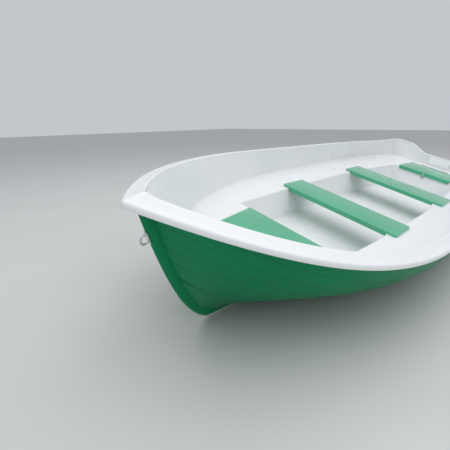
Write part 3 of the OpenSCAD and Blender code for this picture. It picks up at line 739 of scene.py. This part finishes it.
def moulding_columns():
    """Paths from the rim down to the bench, the well's wall and its floor, from the middle of
    the transom round the port side to the bow."""
    aft = TRANSOM_T + 0.6
    t_aft = station_at(aft)
    top = lining_top(t_aft)
    corner_top, corner_foot = Vector((aft, top.y, top.z)), Vector((aft, bench_y(aft), BENCH_Z))
    half_c, half_d = well_y(WELL_BACK), well_foot_y(WELL_BACK)
    floor_aft, floor_fore = 900.0, 3100.0

    def at_transom(u):
        y = u * corner_top.y
        return [Vector((aft, y, min(transom_top(y) - 6, corner_top.z))),
                Vector((aft, u * corner_foot.y, BENCH_Z)), Vector((WELL_BACK, u * half_c, BENCH_Z)),
                Vector((FOOT_AFT, u * half_d, FLOOR_Z)), Vector((floor_aft, 0, FLOOR_Z))]

    def at_side(t):
        a = lining_top(t)
        f = min(foot_x(a.x), BENCH_L - 2)
        b = Vector((f, bench_y(f), BENCH_Z))
        turn = 3480.0
        if f <= turn:
            g = WELL_BACK + (f - aft) * (WELL_FRONT - WELL_BACK) / (turn - aft)
            c = Vector((g, well_y(g), BENCH_Z))
            d = Vector((floor_x(g), well_foot_y(g), FLOOR_Z))
        else:
            share = b.y / bench_y(turn)
            c = Vector((WELL_FRONT, share * well_y(WELL_FRONT), BENCH_Z))
            d = Vector((FOOT_FORE, share * well_foot_y(WELL_FRONT), FLOOR_Z))
        return [a, b, c, d, Vector((min(max(d.x, floor_aft), floor_fore), 0, FLOOR_Z))]

    columns = [at_transom(i / 18) for i in range(18)]
    near_t = t_aft - 0.0025
    first, last = at_transom(0.972), at_side(near_t)
    corner = [corner_top, *at_transom(1)[1:]]
    columns.append(first)
    columns += [[bend(*ends, i / 6) for ends in zip(first, corner, last)] for i in range(1, 6)]
    columns.append(last)
    count = 120
    for i in range(count - 1, 0, -1):
        t = near_t * i / count
        if t > 0.02 and rim_at(t, -LINING_IN, 0).y > 1.5:
            columns.append(at_side(t))
    tip = lining_top(0.0001)
    columns.append([Vector((LINING_TIP - LINER, 0, tip.z)), Vector((BENCH_L, 0, BENCH_Z)),
                    Vector((WELL_FRONT, 0, BENCH_Z)), Vector((FOOT_FORE, 0, FLOOR_Z)),
                    Vector((floor_fore, 0, FLOOR_Z))])
    return columns


def inner_moulding():
    columns = []
    for a, b, c, d, e in moulding_columns():
        belly = (a + b) / 2 + Vector((0, -0.012 * (a - b).length * min(b.y / 200, 1), 0))
        path = [a, (a * 3 + belly * 2) / 5, belly]
        rest = filleted([belly, b, c, d, e], [24, 7, 9])
        inside = [rest[-2] * (1 - u) + e * u for u in (0.25, 0.5, 0.75)]
        columns.append(path[:2] + rest[:-1] + inside + [e])
    k = len(columns[0])
    loop = columns + [mirrored(col) for col in reversed(columns[1:-1])]
    points = [p for col in loop for p in col]
    n = len(loop)
    faces = [(i * k + j, i * k + j + 1, ((i + 1) % n) * k + j + 1, ((i + 1) % n) * k + j)
             for i in range(n) for j in range(k - 1)]
    thing = make("Inner_moulding", points, faces, material=look("White gelcoat"), merge=0.0002)
    up = TURN @ Vector((0, 0, 1))
    level = sum(p.area * p.normal.dot(up) for p in thing.data.polygons)
    if level < 0:
        thing.data.flip_normals()
    wall = thing.modifiers.new("Wall", "SOLIDIFY")
    wall.thickness = 0.006
    wall.offset = -1
    bake(thing)
    opening = round_rectangle(192.0, 560.0, 246.0, 20.0)
    carved(thing, prism("Locker_opening", opening, BENCH_Z - 20, BENCH_Z + 10))
    shade(thing, 40)
    settle(thing, "boat", "side_lining_port", "side_lining_starboard", "bench_port",
           "bench_starboard", "bow_deck", "stern_deck", "well_side_port", "well_side_starboard",
           "well_front_wall", "locker_front", "well_floor")


# Transom.
CAP_HALF = rim_y(0) - RIM_W - 5


def slab_across(name, outline, x0, x1, edge, material, steps=2):
    """A slab between two planes across the boat."""
    return plate(name, [(x, y, z) for x in (x0, x1) for y, z in outline], material, edge, steps)


def transom_panel():
    """The hull's flat stern, out to the planks' faces and up under the rim."""
    across = [CAP_HALF * (1 - i / 30) for i in range(61)]
    top = [(y, transom_top(y) - 9.3) for y in across]
    side = [hull_off(0, w, d * 0.9 + 0.5) for w, d in plank_columns()]
    outline = top + [(-p.y, p.z) for p in side] + [(p.y, p.z) for p in reversed(side)]
    materials = [look("Hull gelcoat"), look("Raw laminate")]
    thing = slab_across("Transom_panel", outline, -2.0, 20.0, 0.8, materials)
    for face in thing.data.polygons:
        face.material_index = 1 if face.normal.x > 0.9 else 0
    settle(thing, "boat", "transom_panel")


def rim_ends():
    """The rim's closed ends at the transom."""
    loop = RIM_PROFILE[:-2] + [(-14, -24), (-30, -8), (-62, 4)]
    spots = [rim_at(1, *q) for q in loop]
    for side, name in ((1, "port"), (-1, "starboard")):
        outline = [(side * p.y, p.z) for p in spots]
        thing = slab_across("Rim_end_" + name, outline, -3.0, 16.0, 1.6, look("White gelcoat"))
        settle(thing, "boat")


def transom_cap():
    """The capping along the transom's dipped top, with its ends cut upright."""
    profile = rounded([(-4, -9), (-4, -3), (-1, 0), (63, 0), (66, -3), (66, -9)])
    sections = []
    for i in range(81):
        y = CAP_HALF * (1 - 2 * i / 80)
        z = transom_top(y)
        slope = (transom_top(y + 1) - transom_top(y - 1)) / 2
        tilt = hypot(1, slope)
        lean = slope / tilt if 0 < i < 80 else 0
        sections.append([Vector((p.x, y - p.y * lean, z + p.y / tilt)) for p in profile])
    settle(lofted("Transom_cap", sections, look("White gelcoat")), "boat", "transom_cap")


def motor_pads():
    for name, x, top, height, finish, edge in (
        ("inner", TRANSOM_T + 0.3, 519, 86, "White board", 2.0),
        ("outer", -6.3, 517, 190, "Varnished plywood", 1.5),
    ):
        low = top - height
        outline = [(-116, low), (116, low), (116, top), (-116, top)]
        thing = slab_across("Motor_pad_" + name, outline, x, x + 6, edge, look(finish), steps=3)
        settle(thing, "boat", "motor_pad_" + name)


# Seats.


def eased(outline, radius):
    """A convex outline with each corner turned by a small curve."""
    out = []
    n = len(outline)
    for i in range(n):
        a, v, b = (Vector(outline[k % n]) for k in (i - 1, i, i + 1))
        out += corner_curve(a, v, b, radius, 0.4, 4)
    return out


def inset(outline, depth):
    """The outline moved in by a depth all round."""
    n = len(outline)
    out = []
    for i in range(n):
        a, v, b = outline[i - 1], outline[i], outline[(i + 1) % n]
        d, e = (v - a).normalized(), (b - v).normalized()
        normal = Vector((-d.y - e.y, d.x + e.x)).normalized()
        out.append(v + normal * depth / max(normal.dot(Vector((-d.y, d.x))), 0.3))
    return out


def slab(outline, z0, z1, top, bottom, corner=6.0):
    """Points and faces of a slab whose upper and lower edges are rounded by those radii."""
    outline = eased(outline, corner)
    turns = [radians(90 * k / 4) for k in range(5)]
    levels = [(bottom * (1 - sin(u)), z0 + bottom * (1 - cos(u))) for u in turns]
    levels += [(top * (1 - cos(u)), z1 - top * (1 - sin(u))) for u in turns]
    rings = [[Vector((p.x, p.y, z)) for p in inset(outline, depth)] for depth, z in levels]
    return [p for ring in rings for p in ring], tube_faces(len(rings), len(outline))


def board(name, outline, z0, z1, lips, top=3.2):
    """A moulded seat board with lips that hang below it, all edges rounded."""
    points, faces = slab(outline, z0, z1, top, 0.4 if lips else 0.8)
    for x0, x1, y0, y1, low, high in lips:
        more, quads = slab([(x0, y0), (x1, y0), (x1, y1), (x0, y1)], low, high, 0.4, 2.6, corner=3.0)
        n = len(points)
        points += more
        faces += [tuple(n + i for i in face) for face in quads]
    return make(name, points, faces, material=look("Board gelcoat"), merge=0.000002)


def cut_rectangle(x0, x1, half, cut):
    """A rectangle with its corners cut off, as the thwarts have."""
    return [(x1, -half + cut), (x1, half - cut), (x1 - cut, half), (x0 + cut, half),
            (x0, half - cut), (x0, -half + cut), (x0 + cut, -half), (x1 - cut, -half)]


def thwart(name, node, x, width, half, lip_half):
    x0, x1, top = x - width / 2, x + width / 2, BENCH_Z + SEAT_T
    lips = [(x0 + 0.2, x0 + 12, -lip_half, lip_half, top - 34, top - 6),
            (x1 - 12, x1 - 0.2, -lip_half, lip_half, top - 34, top - 6)]
    settle(board(name, cut_rectangle(x0, x1, half, 12), BENCH_Z + 0.3, top, lips), "boat", node)


def seats():
    thwart("Forward_thwart", "thwart_forward", 2659, 278, 464, well_y(2798) - 12)
    thwart("Aft_thwart", "thwart_aft", 1526, 300, 470, well_y(1376) - 12)
    x0, x1 = WELL_FRONT + 6, WELL_FRONT + 566
    bow = board("Bow_seat", [(x0, -290), (x1, -212), (x1, 212), (x0, 290)],
                BENCH_Z + 0.3, BENCH_Z + 10.3, [], 2.4)
    settle(bow, "boat", "bow_seat")
    front, top = WELL_BACK + 19, BENCH_Z + SEAT_T
    lid = board("Stern_seat", [(front, -286), (front, 286), (187.5, 266), (187.5, -266)], BENCH_Z + 0.6, top,
                [(front - 12, front - 0.2, -278, 278, top - 38, top - 6)])
    settle(lid, "stern_seat_lid", "stern_seat")
    back = board("Back_board", [(146, -154), (172.5, -154), (172.5, 154), (146, 154)],
                 BENCH_Z + 0.3, top, [], 2.4)
    settle(back, "boat", "seat_back_board")


# Fittings.


def screw_tree(finish):
    """Dome-head screws on every face of a mesh, square to it and each at an angle of its own."""
    tree = bpy.data.node_groups.new("Screws", "GeometryNodeTree")
    link = tree.links.new

    def add(kind, **settings):
        node = tree.nodes.new(kind)
        for key, value in settings.items():
            setattr(node, key, value)
        return node

    tree.interface.new_socket("Geometry", in_out="INPUT", socket_type="NodeSocketGeometry")
    for name, value in (("Head radius", 0.0045), ("Head height", 0.0018)):
        socket = tree.interface.new_socket(name, in_out="INPUT", socket_type="NodeSocketFloat")
        socket.default_value = value
    tree.interface.new_socket("Geometry", in_out="OUTPUT", socket_type="NodeSocketGeometry")
    start, end = add("NodeGroupInput"), add("NodeGroupOutput")
    radius, height = start.outputs["Head radius"], start.outputs["Head height"]
    # A ball squashed to the head's radius and height.
    ball = add("GeometryNodeMeshUVSphere")
    for key, value in (("Segments", 20), ("Rings", 10), ("Radius", 1.0)):
        ball.inputs[key].default_value = value
    size, squashed = add("ShaderNodeCombineXYZ"), add("GeometryNodeTransform")
    for axis, value in (("X", radius), ("Y", radius), ("Z", height)):
        link(value, size.inputs[axis])
    link(ball.outputs["Mesh"], squashed.inputs["Geometry"])
    link(size.outputs["Vector"], squashed.inputs["Scale"])
    # A slot cut across its top.
    slot, slot_size = add("GeometryNodeMeshCube"), add("ShaderNodeCombineXYZ")
    for axis, factor in (("X", 3.0), ("Y", 0.28)):
        times = add("ShaderNodeMath", operation="MULTIPLY")
        times.inputs[1].default_value = factor
        link(radius, times.inputs[0])
        link(times.outputs[0], slot_size.inputs[axis])
    link(height, slot_size.inputs["Z"])
    link(slot_size.outputs["Vector"], slot.inputs["Size"])
    up, raised = add("ShaderNodeCombineXYZ"), add("GeometryNodeTransform")
    link(height, up.inputs["Z"])
    link(slot.outputs["Mesh"], raised.inputs["Geometry"])
    link(up.outputs["Vector"], raised.inputs["Translation"])
    cut = add("GeometryNodeMeshBoolean", operation="DIFFERENCE")
    link(squashed.outputs["Geometry"], cut.inputs["Mesh 1"])
    link(raised.outputs["Geometry"], cut.inputs["Mesh 2"])
    # Each face's middle and the way it faces.
    normal, keep = add("GeometryNodeInputNormal"), add("GeometryNodeCaptureAttribute", domain="FACE")
    keep.capture_items.new("VECTOR", "Facing")
    middles = add("GeometryNodeMeshToPoints", mode="FACES")
    link(start.outputs["Geometry"], keep.inputs["Geometry"])
    link(normal.outputs["Normal"], keep.inputs["Facing"])
    link(keep.outputs["Geometry"], middles.inputs["Mesh"])
    align = add("FunctionNodeAlignRotationToVector", axis="Z")
    link(keep.outputs["Facing"], align.inputs["Vector"])
    spin = add("FunctionNodeRandomValue", data_type="FLOAT")
    spin.inputs[2].default_value = 0.0
    spin.inputs[3].default_value = 3.1
    spin.inputs["Seed"].default_value = 4
    angle = add("ShaderNodeCombineXYZ")
    turn = add("FunctionNodeRotateRotation", rotation_space="LOCAL")
    link(spin.outputs[1], angle.inputs["Z"])
    link(align.outputs["Rotation"], turn.inputs["Rotation"])
    link(angle.outputs["Vector"], turn.inputs["Rotate By"])
    place, solid = add("GeometryNodeInstanceOnPoints"), add("GeometryNodeRealizeInstances")
    link(middles.outputs["Points"], place.inputs["Points"])
    link(cut.outputs["Mesh"], place.inputs["Instance"])
    link(turn.outputs["Rotation"], place.inputs["Rotation"])
    link(place.outputs["Instances"], solid.inputs["Geometry"])
    coat = add("GeometryNodeSetMaterial")
    coat.inputs["Material"].default_value = finish
    link(solid.outputs["Geometry"], coat.inputs["Geometry"])
    link(coat.outputs["Geometry"], end.inputs["Geometry"])
    return tree


def screws(name, body, places, radius, height):
    """Screws at upright places, each with the direction its head faces."""
    points, faces = [], []
    for p, axis in places:
        axis = Vector(axis).normalized()
        a = axis.orthogonal().normalized() * 0.01
        b = axis.cross(a)
        n = len(points)
        points += [Vector(p), Vector(p) + a, Vector(p) + b]
        faces.append((n, n + 1, n + 2))
    mesh = bpy.data.meshes.new(name)
    mesh.from_pydata([lay(p) for p in points], [], faces)
    thing = placed(name, mesh)
    mod = thing.modifiers.new("Screws", "NODES")
    mod.node_group = screw_tree(look("Stainless steel"))
    sizes = {"Head radius": radius * MM, "Head height": height * MM}
    for item in mod.node_group.interface.items_tree:
        if item.item_type == "SOCKET" and item.in_out == "INPUT" and item.name in sizes:
            mod[item.identifier] = sizes[item.name]
    bake(thing)
    if not thing.data.polygons:
        raise RuntimeError("no screws were made for " + name)
    shade(thing, 35)
    settle(thing, body)


def latch():
    """The strap that hangs from the seat's lip, with its turn button."""
    x = WELL_BACK + 19.3
    outline = [(-8, 406), (8, 406), (9, 380), (12.5, 356), (11, 347),
               (5, 343.5), (-5, 343.5), (-11, 347), (-12.5, 356), (-9, 380)]
    points = [(px, y, z) for px in (x + 0.2, x + 2.6) for y, z in outline]
    strap = plate("Latch_strap", points, look("Stainless steel"), 0.7, steps=2, angle=30)
    settle(strap, "stern_seat_lid", "latch_strap")
    knob = turned("Latch_knob", (x + 2.4, 0, 358), (1, 0, 0),
                  [(0, 0), (6, 0), (6.4, 1), (6.4, 3), (8.4, 4.2), (9, 5.4), (9, 8), (8.2, 9.4),
                   (6, 10), (0, 9.2)], material=look("Grey plastic"))
    settle(knob, "stern_seat_lid", "latch_knob")


def fittings():
    latch()
    up, z = (0, 0, 1), BENCH_Z + SEAT_T + 2.1
    rows = [-125, -75, -25, 25, 75, 125]
    screws("Lid_hinge_screws", "stern_seat_lid", [((HINGE_X + 24, y, z), up) for y in rows], 3.6, 1.3)
    screws("Deck_hinge_screws", "boat", [((HINGE_X - 24, y, z), up) for y in rows], 3.6, 1.3)
    on_strap = [((WELL_BACK + 21.8, 0, h), (1, 0, 0)) for h in (399, 386)]
    screws("Latch_screws", "stern_seat_lid", on_strap, 2.8, 1.2)
    socket = [(6.5, -48), (6.5, 5.2), (7.3, 6.2), (9.5, 6.4), (13, 5.9),
              (17.5, 4.4), (18.9, 2.6), (19, 1.5), (10, 1.5), (10, -48)]
    for side, name in ((1, "port"), (-1, "starboard")):
        centre, axis = rowlock_frame(side)
        flange = turned("Rowlock_flange_" + name, centre, axis, socket,
                        steps=56, material=look("Stainless steel"))
        settle(flange, "boat", "rowlock_socket_" + name)
        fore = Vector((1, 0, 0))
        across = axis.cross(fore)
        spots = [(centre + (fore * cos(a) + across * sin(a)) * 14.2 + axis * 5.2, axis)
                 for a in (radians(90 + 120 * i) for i in range(3))]
        screws("Rowlock_screws_" + name, "boat", spots, 2.3, 1.0)
    bow_eye()


def bow_frame():
    """Place of the bow eye on the stem, and its directions ahead and up along the stem."""
    lean = atan2(stem_x(632) - stem_x(592), 40)
    c, s = cos(lean), sin(lean)
    return Vector((stem_x(612) + 5.5, 0, 612)), Vector((c, 0, -s)), Vector((s, 0, c))


def bow_eye():
    """A bent rod through a backing plate with rounded corners."""
    centre, ahead, along = bow_frame()
    path = [centre + ahead * 0.2 - along * 20]
    path += [centre + ahead * d - along * 20 for d in (5, 10)]
    path += [centre + ahead * (14 + 20 * cos(a)) + along * 20 * sin(a)
             for a in (radians(-90 + 7.5 * i) for i in range(25))]
    path += [centre + ahead * d + along * 20 for d in (10, 5, 0.2)]
    side = Vector((0, 1, 0))
    sections = []
    for i, p in enumerate(path):
        d = (path[min(i + 1, len(path) - 1)] - path[max(i - 1, 0)]).normalized()
        out = d.cross(side)
        sections.append([p + side * 4 * cos(a) + out * 4 * sin(a)
                         for a in (2 * pi * j / 20 for j in range(20))])
    rod = lofted("Bow_eye", sections, look("Stainless steel"), angle=50)
    settle(rod, "boat", "bow_eye")
    outline = round_rectangle(-12, 12, 32, 6)
    points = [centre + ahead * h + side * y + along * z for h in (0, 3) for y, z in outline]
    backing = plate("Bow_eye_plate", points, look("Stainless steel"), 0.7, steps=2, angle=40)
    settle(backing, "boat", "bow_eye_plate")


def frame_finishes():
    """Finishes for the CAD's own pieces that are shown."""
    metal = ("seat_hinge_leaf", "deck_hinge_leaf", "hinge_pin", "latch_keeper")
    for name in ("transom_inner", *metal):
        for slot in frame["nodes"][name].material_slots:
            slot.material = look("Stainless steel" if name in metal else "White gelcoat")


# Stage.


def pale_floor(colour):
    finish, tree, surface, place = finish_of("Pale floor", colour, 0.75)
    cloud = ramp(tree, noise(tree, place, 1.5, 4.0), 0.3, 0.7)
    tree.links.new(blend_colours(tree, cloud, colour, tint(colour, 0.96)), surface.inputs["Base Color"])
    return finish


def area_light(name, place, aim, size, power):
    lamp = bpy.data.lights.new(name, "AREA")
    lamp.shape = "RECTANGLE"
    lamp.size, lamp.size_y = size
    lamp.energy = power
    thing = placed(name, lamp)
    thing.location = place
    thing.rotation_euler = (Vector(aim) - Vector(place)).to_track_quat("-Z", "Y").to_euler()


def stage():
    scene = bpy.context.scene
    sizes = scene.boat_stage
    mesh = bpy.data.meshes.new("Floor")
    w = sizes.floor_size / 2
    mesh.from_pydata([(-w, -w, 0), (w, -w, 0), (w, w, 0), (-w, w, 0)], [], [(0, 1, 2, 3)])
    mesh.materials.append(pale_floor((0.62, 0.62, 0.61)))
    floor = placed("Floor", mesh)
    area_light("Sky panel", (0.5, 0.5, 5.5), (0, 0, 0.3), (10.0, 9.0), sizes.sky_power)
    area_light("Side panel", (3.0, 5.5, 3.0), (0.5, 0, 0.4), (4.0, 2.5), sizes.side_power)
    world = bpy.data.worlds.new("Soft studio")
    world.use_nodes = True
    back = world.node_tree.nodes["Background"]
    back.inputs["Color"].default_value = (0.80, 0.84, 0.88, 1)
    back.inputs["Strength"].default_value = sizes.ambient
    scene.world = world
    scene.view_settings.view_transform = "Standard"
    camera = bpy.data.cameras.new("Camera")
    camera.lens, camera.sensor_width = 27.9, 36.0
    camera.clip_end = 200
    thing = placed("Camera", camera)
    right = TURN @ Vector((-0.69001, 0.70197, 0.17641))
    up = TURN @ Vector((-0.21773, -0.43369, 0.87436))
    back_axis = -(TURN @ Vector((-0.69028, -0.56491, -0.45209)))
    matrix = Matrix((right, up, back_axis)).transposed().to_4x4()
    matrix.translation = lay((5115, 928, 1301))
    thing.matrix_world = matrix
    scene.camera = thing


# Add-on.


class BoatColours(bpy.types.PropertyGroup):
    hull: bpy.props.FloatVectorProperty(
        name="Hull", description="Colour of the hull's gelcoat",
        subtype="COLOR", size=3, min=0, max=1, default=(0.004, 0.20, 0.08))
    seats: bpy.props.FloatVectorProperty(
        name="Seats", description="Colour of the seat boards",
        subtype="COLOR", size=3, min=0, max=1, default=(0.042, 0.37, 0.195))
    moulding: bpy.props.FloatVectorProperty(
        name="Inner moulding", description="Colour of the rim and the inner moulding",
        subtype="COLOR", size=3, min=0, max=1, default=(0.80, 0.81, 0.82))


class BoatStage(bpy.types.PropertyGroup):
    floor_size: bpy.props.FloatProperty(
        name="Floor size", description="Length of the floor's sides", unit="LENGTH", default=60)
    sky_power: bpy.props.FloatProperty(
        name="Sky power", description="Power of the panel over the boat", unit="POWER", default=280)
    side_power: bpy.props.FloatProperty(
        name="Side power", description="Power of the panel beside the boat", unit="POWER", default=40)
    ambient: bpy.props.FloatProperty(
        name="Ambient", description="Strength of the light from all round", default=0.68)


class BOAT_OT_hull(bpy.types.Operator):
    """Makes the lapped planking of the hull with its inner skin"""

    bl_idname = "boat.hull"
    bl_label = "Hull planking"

    def execute(self, context):
        hull_planking()
        return {"FINISHED"}


class BOAT_OT_keel(bpy.types.Operator):
    """Makes the keel and the stem's rounded band"""

    bl_idname = "boat.keel"
    bl_label = "Keel and Stem"

    def execute(self, context):
        keel_and_stem()
        return {"FINISHED"}


class BOAT_OT_transom(bpy.types.Operator):
    """Makes the transom's panel and cap and the pads for a motor's clamp"""

    bl_idname = "boat.transom"
    bl_label = "Transom"

    def execute(self, context):
        transom_panel()
        transom_cap()
        motor_pads()
        return {"FINISHED"}


class BOAT_OT_rim(bpy.types.Operator):
    """Makes the broad rim with its rowlock holes and closed ends"""

    bl_idname = "boat.rim"
    bl_label = "Gunwale Rim"

    def execute(self, context):
        gunwale_rim()
        rim_ends()
        return {"FINISHED"}


class BOAT_OT_moulding(bpy.types.Operator):
    """Makes the side linings, benches and well as one moulding"""

    bl_idname = "boat.moulding"
    bl_label = "Inner Moulding"

    def execute(self, context):
        inner_moulding()
        return {"FINISHED"}


class BOAT_OT_seats(bpy.types.Operator):
    """Makes the thwarts, the bow seat and the hinged stern seat"""

    bl_idname = "boat.seats"
    bl_label = "Seats"

    def execute(self, context):
        seats()
        return {"FINISHED"}


class BOAT_OT_fittings(bpy.types.Operator):
    """Makes the latch, rowlock flanges, bow eye and their screws"""

    bl_idname = "boat.fittings"
    bl_label = "Fittings"

    def execute(self, context):
        fittings()
        return {"FINISHED"}


class BOAT_OT_finishes(bpy.types.Operator):
    """Gives the CAD pieces that stay their finishes"""

    bl_idname = "boat.finishes"
    bl_label = "Frame Finishes"

    def execute(self, context):
        frame_finishes()
        return {"FINISHED"}


class BOAT_OT_stage(bpy.types.Operator):
    """Makes the floor, the lights and the camera"""

    bl_idname = "boat.stage"
    bl_label = "Stage"

    def execute(self, context):
        stage()
        return {"FINISHED"}


OPERATORS = (BOAT_OT_hull, BOAT_OT_keel, BOAT_OT_transom, BOAT_OT_rim, BOAT_OT_moulding,
             BOAT_OT_seats, BOAT_OT_fittings, BOAT_OT_finishes, BOAT_OT_stage)


class BOAT_PT_panel(bpy.types.Panel):
    bl_idname = "BOAT_PT_panel"
    bl_label = "Rowing Boat"
    bl_space_type = "VIEW_3D"
    bl_region_type = "UI"
    bl_category = "Rowing Boat"

    def draw(self, context):
        for group in (context.scene.boat_colours, context.scene.boat_stage):
            for key in group.bl_rna.properties.keys():
                if key not in ("rna_type", "name"):
                    self.layout.prop(group, key)
        for kind in OPERATORS:
            self.layout.operator(kind.bl_idname)


CLASSES = (BoatColours, BoatStage, *OPERATORS, BOAT_PT_panel)


def register():
    for kind in CLASSES:
        bpy.utils.register_class(kind)
    bpy.types.Scene.boat_colours = bpy.props.PointerProperty(type=BoatColours)
    bpy.types.Scene.boat_stage = bpy.props.PointerProperty(type=BoatStage)


def unregister():
    del bpy.types.Scene.boat_stage
    del bpy.types.Scene.boat_colours
    for kind in reversed(CLASSES):
        bpy.utils.unregister_class(kind)


def main():
    register()
    for step in ("hull", "keel", "transom", "rim", "moulding", "seats", "fittings", "finishes", "stage"):
        getattr(bpy.ops.boat, step)()


if __name__ == "__main__":
    main()
